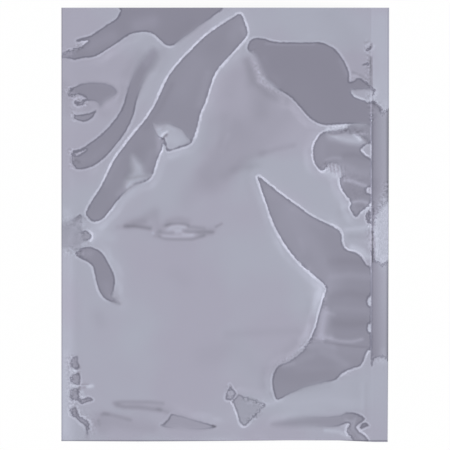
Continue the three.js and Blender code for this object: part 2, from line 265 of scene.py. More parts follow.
addDent("weldShadeLower", 0, 1.0, [
    (371.2, 250, 0.8), (373, 256, 0.9), (374.6, 260.4, 0.9), (379, 261.6, 0.9), (382, 264.4, 0.9),
    (394, 266, 0.9), (394, 356.4, 0.7), (384, 357, 0.7), (377, 358, 0.8), (374, 358.6, 0.9),
    (371.2, 359.4, 0.8),
])

# Soft painted reflections on the film, lighter and darker: how far each reaches to either side, how much
# lighter or darker it is and its path, in the photo's pixels
shades = [
    # mouth dent and bow dent
    (3, -0.09, (82, 44), (88, 42)), (8, 0.13, (152, 20), (138, 24)), (16, -0.02, (110, 60), (84, 72)),
    (5, -0.06, (122, 88), (122, 100)), (5, -0.05, (64, 84), (66, 104), (68, 112)),
    (6, -0.05, (90, 107), (104, 112)), (7, 0.1, (90, 45), (112, 35)), (7, -0.03, (176, 34), (190, 22)),
    (6, -0.07, (126, 74), (132, 63), (140, 54)), (5, -0.06, (154, 66), (159, 56), (163, 49)),
    (5, 0.13, (155, 50), (147, 62)), (6, -0.03, (165, 56), (160, 68)), (1.6, 0.08, (64, 54.4), (72, 53)),
    (6, -0.04, (74, 98), (84, 106)), (1, -0.2, (62, 51.8), (70, 49.6)), (3.6, 0.16, (62, 53), (70, 51.4)),
    (4, 0.04, (78, 161), (92, 158), (104, 148)), (1.3, -0.2, (73.5, 163), (76, 160), (79.5, 162.4)),
    # long diagonal dent
    (3, 0.09, (160, 138), (160, 145)), (3, 0.1, (243, 27), (245, 33)),
    (4.2, 0.07, (208, 72), (203.6, 90), (199, 104)), (9, -0.03, (226, 32), (214, 48)),
    (7, 0.07, (240, 22), (232, 34)), (12, 0.05, (196, 62), (182, 90)),
    (3, 0.06, (118, 158), (110, 172), (104, 184)), (3.4, 0.11, (119, 194), (124, 189), (130, 185)),
    (5, 0.06, (129, 190), (145, 181)), (5, 0.07, (162, 150), (170, 156), (184, 150)),
    (3, -0.06, (154, 124), (156, 131)), (6, 0.04, (214, 20), (234, 10)), (7, -0.05, (140, 150), (132, 166)),
    (7, -0.04, (104, 192), (94, 210)), (7, 0.08, (164, 136), (176, 140)),
    (2.4, 0.05, (168, 126), (174, 130)), (3, -0.06, (172, 84), (160, 108), (146, 128)),
    (4, 0.05, (152, 152), (146, 168)), (3, 0.14, (157, 130), (158.6, 142), (159, 152)),
    (3, -0.1, (126, 176), (131, 171.6)), (1.2, 0.4, (160.6, 138), (162.6, 134), (167, 131.4)),
    (1.1, -0.5, (162.6, 138.4), (166.6, 134.6)), (2, -0.14, (128, 178.5), (138, 176.6), (150, 176)),
    (2.5, 0.06, (133, 160), (139, 168)),
    # between the diagonal dent and the shoulder dent
    (6, -0.06, (224, 118), (222, 146)), (9, -0.05, (212, 122), (206, 146)),
    (10, -0.04, (192, 188), (184, 200)), (5, -0.05, (249, 60), (249, 84)),
    (7, -0.05, (236, 124), (222, 148), (202, 172)), (11, -0.08, (258, 70), (256, 92), (262, 112)),
    (13, -0.07, (268, 96), (250, 128), (226, 158), (206, 180)),
    (12, -0.07, (288, 112), (266, 138), (238, 164), (214, 182)), (9, -0.05, (236, 74), (230, 92)),
    (13, -0.05, (232, 112), (240, 132)), (5, -0.05, (262, 152), (244, 160), (226, 176)),
    (3, -0.07, (294, 145), (276, 149), (261, 154)), (4, -0.05, (234, 170), (244, 167), (258, 166)),
    (5, -0.13, (247, 60), (254, 80), (268, 93), (286, 101)), (4, 0.07, (281, 103), (284, 106)),
    (3, 0.05, (228, 135), (222, 150)),
    # shoulder dent
    (3, 0.09, (340, 60), (347, 74)), (3, 0.07, (253, 55), (256.6, 64), (262, 78)),
    (1.4, 0.08, (258, 69), (262, 78)), (2, 0.13, (258, 80.6), (266, 84), (278, 88)),
    (1.6, 0.16, (264, 78), (273, 84.6)), (4, 0.05, (264, 58), (268, 72), (278, 80)),
    (24, -0.03, (290, 60), (326, 66), (340, 104)),
    (1.3, 0.12, (266, 42.6), (280, 43.4), (300, 43.2), (314, 43.4)),
    (14, -0.04, (330, 12), (352, 40), (362, 66)),
    (1.2, -0.18, (352, 71.6), (360, 75), (367, 79.6), (371.6, 85)), (1.4, 0.12, (353, 75.4), (357, 74.6)),
    (1, -0.62, (370.2, 57), (370.4, 84)), (1.2, 0.06, (372.6, 60), (372.6, 82)),
    (1.1, -0.4, (370.6, 43.6), (371, 46)),
    (1.3, 0.24, (351, 89.4), (350.8, 93.6), (356, 97.8), (364, 100.6)),
    # right weld
    (3, 0.08, (383, 350), (383, 356)), (2.6, 0.09, (383, 258), (383, 261)),
    (2.2, -0.2, (373, 103), (377, 106), (380, 110)), (1, -0.55, (371.9, 231), (372, 248), (372.6, 262)),
    (0.9, -0.28, (374, 236), (373.4, 240), (374.6, 244), (373.8, 250), (375, 258)),
    (1.8, 0.1, (376, 230), (376.4, 256)), (1.5, -0.2, (372.8, 203), (373, 225)),
    (2.6, 0.06, (375.6, 120), (375.6, 176)), (3, 0.07, (385, 103), (385, 110)),
    (1.3, 0.2, (374.6, 214), (375, 222)), (6, -0.05, (382, 274), (383, 350)),
    (3, 0.06, (380, 362), (386, 362)),
    # lobed dent
    (3, 0.1, (322, 172), (330, 178)), (4, -0.08, (341, 212), (346, 212)), (3, 0.1, (344, 174), (348, 178)),
    (2.2, 0.36, (327, 129.6), (335, 128.2), (341, 126.4), (345.4, 125)),
    (1.3, -0.14, (329, 133.8), (335, 134.2), (342, 132), (347.6, 129)),
    (3.6, 0.14, (330, 138.5), (341, 140), (352, 141.6), (361, 144)), (2.4, 0.1, (327, 136.4), (336, 137)),
    (1.8, 0.15, (325.6, 160.4), (333, 157.6), (340, 158.4)), (5, 0.05, (322, 142), (321, 156)),
    (4, 0.08, (342, 164), (352, 168)), (3, 0.06, (349, 206), (356, 209)),
    (1.8, 0.42, (353.6, 134), (357, 136.6), (359.8, 139.4)),
    (1.6, -0.16, (352, 128), (358, 131.6), (350, 133)), (1.5, -0.24, (361.6, 137.2), (366.4, 140.8)),
    (1.3, 0.14, (361, 133.4), (367, 134.6)), (3.4, -0.09, (344, 155), (354, 154.6), (366, 158)),
    (5, 0.1, (342, 170), (353, 172), (366, 173)),
    (1.8, 0.36, (344.4, 180.2), (352, 181), (359, 183.6), (365, 185.8)),
    (1.7, 0.3, (351.6, 202.8), (356, 201.4), (362, 201.2), (367, 202.6)),
    (4, -0.05, (350, 191.6), (365, 193)), (2.4, 0.2, (325, 170), (331, 173.4), (338, 177.6), (340.4, 184)),
    (1.9, 0.22, (361.6, 212.6), (365.6, 209.4), (369, 206)),
    (2.6, 0.14, (346, 229.5), (356, 228.8), (368, 227)), (3, -0.07, (350, 236.4), (368, 236.4)),
    (3.2, 0.2, (352, 247.6), (361, 250.8), (367, 257)),
    # forked dent
    (9, 0.06, (270, 198), (285, 221), (300, 243)), (11, 0.1, (292, 212), (312, 244), (332, 284)),
    (4.8, 0.42, (324.5, 313), (322.4, 324), (321, 334)), (3, 0.14, (320, 336.6), (331, 337)),
    (3, 0.1, (325, 298), (326, 308)), (4, 0.08, (328, 285), (330, 292)),
    (6, -0.03, (252, 186), (262, 214), (280, 244), (296, 262)),
    (5, 0.06, (268, 190), (290, 206), (322, 227)), (5, 0.05, (278, 226), (296, 254)),
    (6, -0.05, (250, 168), (251, 178)), (4, 0.09, (331, 223), (336, 228)),
    (6, -0.02, (356, 374), (357, 418)), (4, 0.05, (330, 316), (330, 340)),
    (4, 0.07, (307, 268), (318, 281), (321, 291), (319.6, 298)),
    (3, 0.07, (320, 286), (322, 292), (320.6, 299)), (2.4, 0.15, (283, 365.8), (294, 363.6)),
    (3, -0.05, (313.6, 318), (310, 332)), (5, -0.07, (266, 372), (265, 386)),
    (2.4, -0.08, (270, 394), (271, 396)), (2.8, 0.09, (260, 403.6), (271, 404), (281, 400.6)),
    (3, -0.04, (300, 391.6), (330, 386)), (8, -0.04, (282, 376), (300, 380), (330, 372)),
    (1.2, 0.3, (370, 298), (370, 304)), (1.2, 0.3, (370, 325), (370, 330.6)),
    (1.8, -0.03, (366.6, 384), (367, 432)), (1.8, 0.03, (362.6, 384), (362.6, 408)),
    (2, 0.12, (328, 312.6), (334, 314.6)), (6, 0.07, (298, 258), (311, 275), (315, 287), (313, 302)),
    (1.8, 0.26, (316, 339), (330, 338.4), (340, 341.2), (352, 341.8), (362, 339.4)),
    (1.1, -0.12, (326, 342.4), (340, 344.8), (354, 346.4), (368, 347.4)),
    (5, -0.04, (228, 334), (262, 332), (298, 331)), (5, -0.07, (332, 262), (350, 261), (368, 264)),
    (4, 0.1, (331, 277), (350, 275), (368, 277)), (4.6, -0.07, (333, 294), (350, 293.4), (368, 296)),
    (4, 0.06, (335, 308.6), (366, 310)), (5.6, -0.1, (334, 323), (350, 324), (364, 323)),
    (4.4, 0.13, (311, 345.6), (322, 344.6), (333, 347)), (4, 0.09, (322, 352), (334, 357), (347, 365)),
    (4, 0.07, (300, 360), (313, 355)), (6, 0.05, (336, 350), (366, 351)),
    (3, 0.03, (298, 368), (322, 369), (340, 368)), (7, -0.07, (296, 345), (284, 356), (273, 366)),
    (4, -0.06, (309.6, 300), (311, 322)), (3, 0.05, (304, 252), (300, 240)),
    # eye shaped wrinkles
    (5.4, -0.09, (129, 225), (140, 221), (148, 216), (155, 212)), (3.4, -0.08, (134, 222.6), (144, 221.4)),
    (1.8, -0.24, (125, 226.2), (134, 226.2), (143, 227.3), (150, 228.6)),
    (2.6, -0.06, (118, 227), (128, 226.4)), (3.2, -0.05, (128, 224.4), (150, 227)),
    (4.4, -0.05, (156, 219), (159, 230)), (2.2, -0.11, (159.6, 231), (155, 235.6)),
    (1.4, 0.13, (153, 233), (154, 234)), (2, -0.13, (161, 232.4), (168, 233), (173, 232.8)),
    (2.4, -0.1, (163.6, 226), (169, 224.8)),
    (1.4, -0.2, (166, 225.3), (172, 223.9), (178, 223.5), (184, 223.8), (188, 225.2)),
    (3.6, -0.1, (168, 222), (178, 219.4), (187, 221.4)), (1.8, 0.14, (170, 227), (178, 226), (185, 227.4)),
    (2.2, 0.11, (168, 230), (180, 229.8)), (2, 0.08, (176, 232), (183, 231.6)),
    (2, 0.12, (163, 236.2), (172, 236.8), (184, 236.8), (192, 235.4), (196, 234)),
    (1.4, 0.12, (183, 234.3), (192, 234.1)),
    (1.6, -0.21, (159, 236.4), (164, 238.4), (172, 239.2), (182, 239.1), (192, 239.3), (199, 237.3),
     (204, 235.6)),
    (1.8, -0.13, (189, 226.4), (197, 227.4), (204, 228.2)),
    (1.8, -0.19, (184, 231), (190, 232.2), (198, 232), (206, 231.6), (213, 232)),
    (2.6, -0.12, (197, 234), (204, 234.4), (211, 233)), (3.4, -0.06, (190, 229), (206, 230), (214, 229)),
    (1.4, -0.18, (216, 226.6), (219, 225.2), (221.5, 223.8)),
    # hook dent and the corner by it
    (1.6, -0.08, (117, 297), (113.4, 301), (120, 303.4)),
    (2.2, 0.04, (110.4, 258), (116, 270), (117.6, 284)), (2, 0.1, (82, 220), (83, 226)),
    (1.8, -0.16, (77, 219.4), (79.4, 217.4)), (1.4, -0.12, (84, 217.4), (85.6, 219)),
    (1.6, 0.12, (84, 243), (78, 246.6)), (3, 0.1, (91, 231), (94.4, 236), (92, 241)),
    (6, 0.05, (97, 226), (104, 236), (112, 238)), (4, 0.12, (84, 253), (90, 253.6)),
    (5, -0.04, (108, 206), (106, 216)), (3, -0.06, (115, 293), (121, 303)),
    (4, 0.07, (106, 284), (109, 295)), (5, 0.1, (66, 212), (68, 218)), (5, 0.03, (116, 284), (120, 300)),
    (3, 0.06, (74, 228), (70, 240)), (3, -0.08, (84, 233), (86, 238)), (12, -0.03, (150, 226), (180, 234)),
    # left weld
    (3.2, 0.055, (65.4, 352), (65.4, 432)), (2, 0.26, (74, 370.4), (77.4, 371)),
    (1.4, 0.26, (72, 386), (78, 386)), (1.2, 0.16, (81, 385.8), (90.6, 386)),
    (1, -0.2, (80.4, 384.4), (88, 384.6)), (1.1, -0.24, (80, 388), (84.4, 387.4)),
    (1.8, 0.24, (88.6, 386.6), (92.4, 386)), (2, 0.16, (81, 391), (84, 396)),
    (1.3, -0.4, (78, 371.4), (79, 373.4)), (1.2, -0.3, (79, 366), (79.6, 368)),
    (1.2, -0.35, (79, 387.6), (79, 389.4)), (1.2, 0.2, (80.6, 418.4), (85.4, 422)),
    (1.6, -0.12, (74.4, 407), (76, 412)),
    # toward the fold
    (11, -0.03, (238, 346), (262, 378)), (3.6, -0.09, (360, 425), (358, 432)),
    (3, 0.07, (232, 392), (233, 397)), (2, -0.13, (114, 402.8), (122, 401.8), (150, 402), (163, 403.4)),
    (2.3, -0.18, (117, 405), (124, 407), (140, 407.4), (152, 409.2), (160, 410)),
    (1.8, -0.12, (158, 409), (168, 412.6)), (4, -0.05, (118, 404.6), (150, 405), (170, 410)),
    (1.8, -0.11, (101.5, 414.8), (104, 413.4), (108, 414)), (7, -0.07, (94, 420), (103, 430)),
    (8, -0.025, (104, 416), (142, 416)), (1.2, -0.45, (213, 426.2), (215.4, 426.8)),
    (1.3, -0.1, (165.4, 423.4), (169.4, 418.4)), (5, -0.04, (352, 416), (360, 418)),
    (2, -0.14, (104, 414), (112, 415), (121, 417.4), (130, 419.8)),
    (7, -0.08, (104, 420), (125, 425), (152, 428)), (1.6, -0.12, (98, 421), (99, 425)),
    (7, -0.05, (98, 316), (101, 322)), (12, -0.04, (205, 356), (222, 352)),
    (9, -0.03, (176, 274), (184, 280)), (6, 0.04, (286, 404), (330, 400), (356, 404)),
    (2.2, 0.13, (326, 431), (340, 432.6), (349, 437)),
    (1.3, 0.16, (346, 420), (352.4, 422), (356, 418.6), (353, 428), (358, 434.4), (363.6, 439)),
]

# Where the film is bluer (above 0) or more mauve (below 0), in the same form
tints = [
    (34, -0.7, (75, 20), (66, 70), (80, 128)), (20, -0.6, (118, 60), (106, 100)),
    (16, 0.6, (206, 70), (150, 150), (100, 210)), (20, 0.6, (270, 18), (360, 24)),
    (10, -0.5, (352, 60), (358, 76)), (26, -0.6, (236, 96), (268, 130), (216, 170)),
    (14, 0.7, (250, 168), (300, 174), (330, 205), (352, 232)), (16, 0.4, (205, 140), (190, 160)),
    (26, 0.4, (100, 240), (130, 330), (120, 372)), (34, -0.5, (190, 268), (214, 340), (180, 388)),
    (22, -0.4, (256, 300), (286, 340)), (12, 0.5, (262, 200), (296, 262), (314, 300)),
    (14, 0.6, (270, 408), (350, 394)), (10, -0.4, (100, 425), (200, 434), (300, 436)),
    (9, 0.7, (381, 20), (381, 96)), (9, 0.9, (381, 205), (381, 262)), (8, 1.5, (248, 404), (246, 416)),
    (9, 0.6, (326, 352), (340, 364)),
]

# Where the film is crumpled too finely for single creases, with its light and dark speckle painted, in the
# same form
grits = [
    (4, 0.7, (62, 52), (72, 50), (80, 46)), (4.4, 1, (68, 90), (76, 97), (84, 102)),
    (4, 0.6, (252, 50), (258, 68), (266, 84), (278, 90)), (3, 0.6, (72, 108), (74, 120)),
    (3.5, 0.8, (70, 150), (72, 158), (72, 166)), (4, 0.9, (66, 252), (74, 250), (82, 254)),
    (7, 0.5, (66, 222), (78, 224), (84, 240)), (5, 0.9, (70, 358), (71, 380), (72, 412)),
    (4, 0.6, (80, 384), (82, 400)), (3, 0.5, (162, 126), (163, 142)),
    (6, 0.4, (84, 416), (94, 422), (90, 432)), (3.5, 0.6, (112, 296), (118, 302)),
    (3.5, 0.7, (366, 42), (368, 66), (368, 88), (369, 104), (372, 118)), (3, 0.6, (376, 102), (384, 110)),
    (4.4, 0.9, (330, 132), (346, 129), (362, 134)), (3, 0.5, (366, 206), (368, 222), (369, 250)),
    (5, 0.8, (326, 165), (336, 169), (344, 175)), (9, 0.25, (356, 180), (358, 204)),
    (3, 0.8, (304, 346), (316, 339), (326, 340)), (2.4, 0.6, (325.6, 286), (325.6, 308)),
    (2.4, 0.6, (276, 364), (296, 355), (304, 345)), (2.4, 0.4, (296, 258), (310, 272)),
    (2.5, 0.3, (350, 374), (340, 378)), (4, 0.7, (250, 401), (262, 404), (258, 414), (248, 420)),
    (2, 0.5, (242, 399), (258, 402)), (3, 0.5, (228, 388), (231, 398)),
    (4, 1.2, (386, 184), (383, 200), (378, 213)), (2, 0.8, (372, 204), (373, 224), (373, 262)),
    (2.5, 0.6, (372, 358), (378, 360), (388, 360)), (3, 0.5, (350, 428), (350, 438)),
]

# Painted reflections of fine pleats under the lobed dent, light and dark by turns, in the photo's pixels
pleats = {
    "count": 11,
    "first": (325.6, 162),
    "step": (1.9, 0.5),
    "lean": 1.6,
    "length": 8,
    "growth": 0.7,  # how much longer the next one is
    "spread": 0.85,
    "strength": 0.14,
}
for pleat in range(pleats["count"]):
    side = 1 if pleat % 2 else -1
    top = [first + pleat * step for first, step in zip(pleats["first"], pleats["step"])]
    foot = [top[0] + pleats["lean"], top[1] + pleats["length"] + pleat * pleats["growth"]]
    shades.append((pleats["spread"], side * pleats["strength"], top, foot))

tiny = 1e-9  # a run shorter than this has no direction


# A smooth closed curve through an outline's points, with the kind of crease along it
def smoothOutline(points, runs=4):
    p = np.array(points, float)
    before, after, further = np.roll(p, 1, 0), np.roll(p, -1, 0), np.roll(p, -2, 0)
    pieces = []
    for t in np.arange(runs) / runs:
        bend = (2 * before - 5 * p + 4 * after - further) * t**2
        turn = (3 * p - before - 3 * after + further) * t**3
        pieces.append(0.5 * (2 * p + (after - before) * t + bend + turn))
    curve = np.stack(pieces, axis=1).reshape(-1, p.shape[1])
    curve[:, 2] = np.clip(curve[:, 2], 0, 2)
    return curve


# Distance of many spots from an outline, positive inside, and the kind of crease at its nearest point
def outlineDistance(points, spots):
    curve = smoothOutline(points)
    nearest = np.full(len(spots), np.inf)
    crease = np.zeros(len(spots))
    inside = np.zeros(len(spots), bool)
    for a, b in zip(curve, np.roll(curve, -1, 0)):
        run = b[:2] - a[:2]
        share = np.clip(((spots - a[:2]) @ run) / max(run @ run, tiny), 0, 1)
        apart = np.hypot(*(spots - a[:2] - share[:, None] * run).T)
        closer = apart < nearest
        nearest[closer] = apart[closer]
        crease[closer] = (a[2] + (b[2] - a[2]) * share)[closer]
        crosses = (a[1] > spots[:, 1]) != (b[1] > spots[:, 1])
        slope = run[0] / run[1] if abs(run[1]) > tiny else 0
        inside ^= crosses & (spots[:, 0] < a[0] + (spots[:, 1] - a[1]) * slope)
    return np.where(inside, nearest, -nearest), crease


# Distance of many spots from an open path
def pathDistance(path, spots):
    points = np.array(path, float)
    nearest = np.full(len(spots), np.inf)
    for a, b in zip(points, points[1:]):
        run = b - a
        share = np.clip(((spots - a) @ run) / (run @ run), 0, 1)
        nearest = np.minimum(nearest, np.hypot(*(spots - a - share[:, None] * run).T))
    return nearest


# The sum of soft strokes at many spots
def brushed(strokes, spots):
    amount = np.zeros(len(spots))
    for spread, strength, *path in strokes:
        amount += strength * np.exp(-((pathDistance(path, spots) / spread) ** 2))
    return amount


# 0 up to low, 1 from high on and smooth between them
def ease(value, low, high):
    t = np.clip((value - low) / (high - low), 0, 1)
    return t * t * (3 - 2 * t)


# The front wall at many spots: millimetres inside the nearest dent, the kind of crease there, how dark the
# dent's painted reflection is, its depth there, and how much lighter or darker by painted reflection, bluer
# and more crumpled the film is
def readCreases(across, up):
    nearer = 1 + hollowHeight(across, up, 0) / lens["distance"]
    pixels = np.column_stack([
        photo["size"] / 2 + (across - pictureMiddle[0]) / photo["pixel"] * nearer,
        photo["size"] / 2 - (up - pictureMiddle[1]) / photo["pixel"] * nearer,
    ])
    edge = np.full(len(pixels), bag["farOff"])
    crease, tone, depth = (np.zeros(len(pixels)) for _ in range(3))
    for dent in dents.values():
        corners = dent["outline"][:, :2]
        low, high = corners.min(0) - photo["margin"], corners.max(0) + photo["margin"]
        near = np.where(((pixels > low) & (pixels < high)).all(1))[0]
        distance, kind = outlineDistance(dent["outline"], pixels[near])
        sunk = dent["depth"] * ease(distance * photo["pixel"], -bag["dentWall"], bag["dentFloor"])
        depth[near] = np.maximum(depth[near], sunk)
        for island in dent["islands"]:
            outside, islandKind = outlineDistance(island, pixels[near])
            closer = -outside < distance
            distance = np.where(closer, -outside, distance)
            kind = np.where(closer, islandKind, kind)
        distance *= photo["pixel"] * millimetres
        wins = distance > edge[near]
        chosen = near[wins]
        edge[chosen], crease[chosen], tone[chosen] = distance[wins], kind[wins], dent["tone"]
    return edge, crease, tone, depth, *(brushed(strokes, pixels) for strokes in (shades, tints, grits))


# Height of the hollow under the front wall: nothing at the welds and little at the fold
def hollowHeight(across, up, depth):
    hollowWidth = bag["width"] - bag["leftWeld"] - bag["rightWeld"]
    fromWeld = (across + bag["width"] / 2 - bag["leftWeld"]) / hollowWidth
    arch = np.sin(np.pi * np.clip(fromWeld, 0, 1)) ** bag["fullness"]
    fromFold = up + bag["length"] / 2
    rise = 1 - np.exp(-np.maximum(fromFold, 0) / bag["foldReach"])
    fall = ease(fromFold, bag["length"] - bag["mouthReach"], bag["length"])
    top = bag["crownHeight"] + (bag["mouthHeight"] - bag["crownHeight"]) * fall
    full = arch * (bag["foldHeight"] + (top - bag["foldHeight"]) * rise)
    return full - depth * np.clip(full / bag["shallow"], 0, 1)


# The film is one grid wrapped round the fold: its rows run down the front wall and up the back wall
def makeBag():
    bpy.ops.object.select_all(action="DESELECT")
    rowCount = bag["frontRows"] + bag["foldRows"] + bag["backRows"]
    bpy.ops.mesh.primitive_grid_add(x_subdivisions=bag["columns"], y_subdivisions=rowCount, size=1)
    sheet = bpy.context.object
    sheet.name = "bag"
    mesh = sheet.data
    places = np.empty(len(mesh.vertices) * 3)
    mesh.vertices.foreach_get("co", places)
    places = places.reshape(-1, 3)
    across = places[:, 0] * bag["width"]
    row = np.rint((0.5 - places[:, 1]) * rowCount)
    foldLine = -bag["length"] / 2
    wallSpan = bag["length"] - bag["foldHeight"] / 2
    wallStart = bag["length"] / 2 - wallSpan

    downFront = np.clip(row / bag["frontRows"], 0, 1)
    bent = np.clip((row - bag["frontRows"]) / bag["foldRows"], 0, 1)
    upBack = np.clip((row - bag["frontRows"] - bag["foldRows"]) / bag["backRows"], 0, 1)
    up = np.where(upBack > 0, wallStart + upBack * wallSpan, bag["length"] / 2 - downFront * wallSpan)
    edge, crease, tone, depth, shade, tint, grit = readCreases(across, up)

    half = (2 * bag["film"] + hollowHeight(across, up, depth)) / 2
    turn = bent * np.pi
    height = np.where(bent < 1, half + half * np.cos(turn), 0)
    up = np.where(upBack > 0, up, up - np.where(bent > 0, half * np.sin(turn), 0))
    nearMouth = np.clip((up - foldLine) / bag["length"], 0, 1) ** bag["drawPower"]
    arch = np.clip(height / bag["mouthHeight"], 0, 1)
    drawn = up - nearMouth * (bag["mouthDraw"] + bag["mouthArch"] * arch)
    atFold = 1 - ease(up, foldLine, foldLine + bag["waveReach"])
    drawn += np.interp(across, *zip(*bag["foldWave"])) * atFold
    leaning = across + np.interp(up, *zip(*bag["lean"])) * ease(across, 0, bag["width"] / 2)
    mesh.vertices.foreach_set("co", np.column_stack([leaning, drawn, height]).ravel())

    readings = {"edge": edge, "crease": crease, "tone": tone, "shade": shade, "tint": tint, "grit": grit}
    for name, values in readings.items():
        plain = bag["farOff"] if name == "edge" else 0
        values = np.where(bent < 0.5, values, plain).astype(np.float32)
        mesh.attributes.new(name, "FLOAT", "POINT").data.foreach_set("value", values)

    # Close the cut edges of the side welds
    bpy.ops.object.mode_set(mode="EDIT")
    for side in (-1, 1):
        bpy.ops.mesh.select_all(action="DESELECT")
        bpy.ops.object.mode_set(mode="OBJECT")
        fromEdge = np.abs(across - side * bag["width"] / 2)
        mesh.vertices.foreach_set("select", fromEdge < bag["edgeTolerance"])
        mesh.update()
        bpy.ops.object.mode_set(mode="EDIT")
        bpy.ops.mesh.select_mode(type="VERT")
        bpy.ops.mesh.edge_face_add()
    bpy.ops.object.mode_set(mode="OBJECT")
    bpy.ops.object.shade_smooth_by_angle(angle=math.radians(bag["smoothAngle"]))
    return sheet


sheet = makeBag()
print("bag wrapped", len(sheet.data.vertices), "points")


# A value over a surface, with the sums that act on it
class Reading:
    def __init__(self, tree, socket=None):
        self.tree = tree
        self.socket = socket

    def node(self, kind, inputs=(), output=0, **settings):
        made = self.tree.nodes.new(kind)
        for name, value in settings.items():
            if name == "stops":
                while len(made.color_ramp.elements) < len(value):
                    made.color_ramp.elements.new(0.5)
                for element, (place, color) in zip(made.color_ramp.elements, value):
                    element.position, element.color = place, color
            else:
                setattr(made, name, value)
        pairs = inputs.items() if isinstance(inputs, dict) else enumerate(inputs)
        for name, value in pairs:
            if isinstance(value, Reading):
                self.tree.links.new(value.socket, made.inputs[name])
            else:
                made.inputs[name].default_value = value
        return Reading(self.tree, made.outputs[output] if len(made.outputs) else None)

    def maths(self, operation, *values):
        return self.node("ShaderNodeMath", values, operation=operation)

    def __add__(self, other):
        return self.maths("ADD", self, other)

    def __sub__(self, other):
        return self.maths("SUBTRACT", self, other)

    def __mul__(self, other):
        return self.maths("MULTIPLY", self, other)

    def __truediv__(self, other):
        return self.maths("DIVIDE", self, other)

    def __radd__(self, other):
        return self.maths("ADD", other, self)

    def __rsub__(self, other):
        return self.maths("SUBTRACT", other, self)

    def __rmul__(self, other):
        return self.maths("MULTIPLY", other, self)

    def __rtruediv__(self, other):
        return self.maths("DIVIDE", other, self)

    def size(self):
        return self.maths("ABSOLUTE", self)

    def least(self, other):
        return self.maths("MINIMUM", self, other)

    def exp(self):
        return self.maths("EXPONENT", self)

    def held(self):  # between 0 and 1
        return self.node("ShaderNodeClamp", {"Value": self, "Min": 0, "Max": 1})

    def eased(self, low, high):  # 0 at low, 1 at high, smooth between them
        inputs = {"Value": self, "From Min": low, "From Max": high}
        return self.node("ShaderNodeMapRange", inputs, interpolation_type="SMOOTHSTEP")

    def bell(self, centre, spread):  # 1 at the centre and 0 a spread away from it
        return (1 - (self - centre).size() / spread).held().eased(0, 1)

    def rim(self, place, width, depth):  # a darker line at a place
        return self.bell(place, width) * depth

    def adding(self, least, more):  # the least level, and this reading's share of more
        return least + self * more

    def ramped(self, stops):  # a number that follows the stops, each a place and its level of 0 to 2
        greys = [(place, (level / 2, level / 2, level / 2, 1)) for place, level in stops]
        return self.node("ShaderNodeValToRGB", {"Fac": self}, "Color", stops=greys) * 2

    def mixed(self, first, second):  # from one colour to another
        inputs = {"Factor": self, 6: first, 7: second}
        return self.node("ShaderNodeMix", inputs, output=2, data_type="RGBA")

    def times(self, other):  # two colours or places, each channel by itself
        return self.node("ShaderNodeVectorMath", [self, other], operation="MULTIPLY")

    def noise(self, scale, detail, roughness):
        inputs = {"Vector": self, "Scale": scale, "Detail": detail, "Roughness": roughness}
        return self.node("ShaderNodeTexNoise", inputs, "Fac")


def newTree(owner):
    owner.use_nodes = True
    owner.node_tree.nodes.clear()
    return Reading(owner.node_tree)


film = {
    "mauve": (0.378, 0.372, 0.455, 1),
    "blue": (0.388, 0.4, 0.478, 1),
    # painted dark reflection of the tilted film inside the dents
    "dent": (0.252, 0.247, 0.308, 1),
    # line: painted shade of the dark line just inside a crease
    "line": (0.15, 0.15, 0.2, 1),
    # lip: painted highlight of the bright lips outside the creases, which are also raised a little by bump
    "lip": (0.63, 0.64, 0.77, 1),
    "metallic": 0.9,
    "roughness": 0.2,
    "grain": 0.06,  # roughness that the grain adds
    "blueing": 4,  # how much bluer the light shades are
    "cloudRange": (0.26, 0.74),  # from mauve clouds to blue ones
    "ripple": 0.0012,  # height of the film's ripples

    # Along a crease, in millimetres
    "wobble": 0.9,
    "serration": 0.7,
    "crumple": (0.3, 2.2),  # on smooth film, and added where it is crumpled
    "crumpleShade": 0.4,
    "crumpleRange": (0.3, 0.7),
    "teeth": 6,  # on the right weld
    "toothStretch": (3, 1, 1),
    "edgeReach": (0.5, 3.0),  # of a sharp edge, and added for a soft one
    "linePlace": 0.55,  # where the painted shade line runs, inside the crease
    "lineWidth": 1.0,
    "creaseShade": 0.78,  # how dark that painted shade line is
    "lineLoss": 0.45,  # how much of it a lip takes away
    "lipPlace": 0.95,  # outside the crease
    "lipWidth": 1.18,
    "lipSwell": (0.75, 0.7),  # least share of that width, and added by the swell
    "lipRise": 0.0003,  # metres
    "lipFlecks": (0.62, 0.38),  # shares of its light: even, and flecked
    "fleckRange": (0.35, 0.6),
    "lipLight": (0.12, 0.73),  # painted highlight beside a dark line, and added by a full lip
    "lipStart": (0.6, 1),  # kinds of crease between which a lip begins
    "glow": 0.1,  # painted light of the film round a lip
    "glowReach": 3.2,

    # Darker rims along the film's cut edges and painted shade along its fold, each with its width in metres
    # and its depth
    "rimPlace": 0.0004,
    "rightRim": (0.0012, 0.1),
    "rightDentRim": (0.0024, 0.34),
    "leftRim": (0.00096, 0.2),
    "foldRim": (0.00096, 0.42),
}

# Scale, detail and roughness of the noises over the film
noises = {
    "teeth": (420, 2, 0.6),
    "wobble": (380, 2, 0.6),
    "serration": (1100, 1, 0.5),
    "crumple": (560, 2, 0.5),
    "flecks": (150, 2, 0.6),
    "swell": (45, 1, 0.5),
    "clouds": (22, 2, 0.45),
    "grain": (900, 2, 0.6),
    "waves": (45, 2, 0.5),
}
